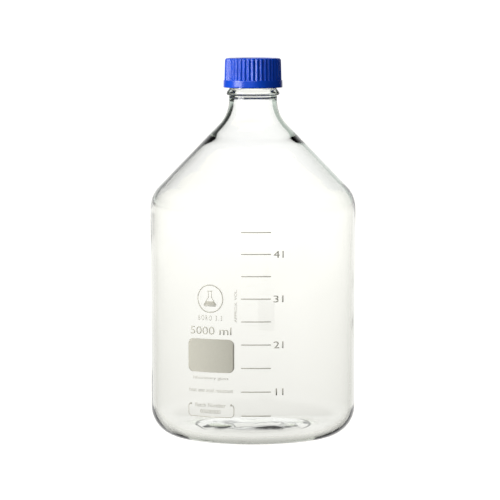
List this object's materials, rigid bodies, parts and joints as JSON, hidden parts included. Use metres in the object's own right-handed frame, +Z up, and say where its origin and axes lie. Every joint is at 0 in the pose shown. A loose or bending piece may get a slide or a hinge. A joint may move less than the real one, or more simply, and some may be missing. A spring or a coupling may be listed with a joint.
{
  "type": "reagent bottle",
  "caption": "Large clear glass laboratory bottle with push-up base, sloping shoulder, screw neck, ribbed blue screw cap and enamel volume scale.",
  "frame": {"origin": "on the bottle's axis, level with the bench that its foot stands on", "axes": "+Z up along the bottle's axis, -Y towards the printed front, +X to the right seen from the front"},
  "size_m": [0.1818, 0.1819, 0.335],
  "materials": {
    "borosilicate_glass": "clear, fire-polished",
    "fired_enamel": "matt fired-on enamel print",
    "blue_polypropylene": "moulded, satin gloss",
    "seal_polypropylene": "moulded, natural white"
  },
  "bodies": {
    "bottle": {"glass_bottle": "borosilicate_glass", "pouring_ring": "blue_polypropylene", "writing_field": "fired_enamel", "code_frame": "fired_enamel", "symbol_ring": "fired_enamel", "symbol_flask": "fired_enamel", "mark_500_ml": "fired_enamel", "mark_1000_ml": "fired_enamel", "mark_1500_ml": "fired_enamel", "mark_2000_ml": "fired_enamel", "mark_2500_ml": "fired_enamel", "mark_3000_ml": "fired_enamel", "mark_3500_ml": "fired_enamel", "mark_4000_ml": "fired_enamel", "mark_4500_ml": "fired_enamel"},
    "seal": {"cap_seal": "seal_polypropylene"},
    "cap": {"screw_cap": "blue_polypropylene"}
  },
  "joints": [
    {"name": "seal_lift", "type": "slide", "parent": "bottle", "child": "seal", "axis": [0, 0, 1], "range_m": [0, 0.024]},
    {"name": "cap_turn", "type": "hinge", "parent": "seal", "child": "cap", "pos_m": [0, 0, 0.322], "axis": [0, 0, 1], "range_deg": [0, 2160]}
  ],
  "couplings": [
    {"joint": "seal_lift", "follows": "cap_turn", "m_per_rad": 0.00063662}
  ]
}
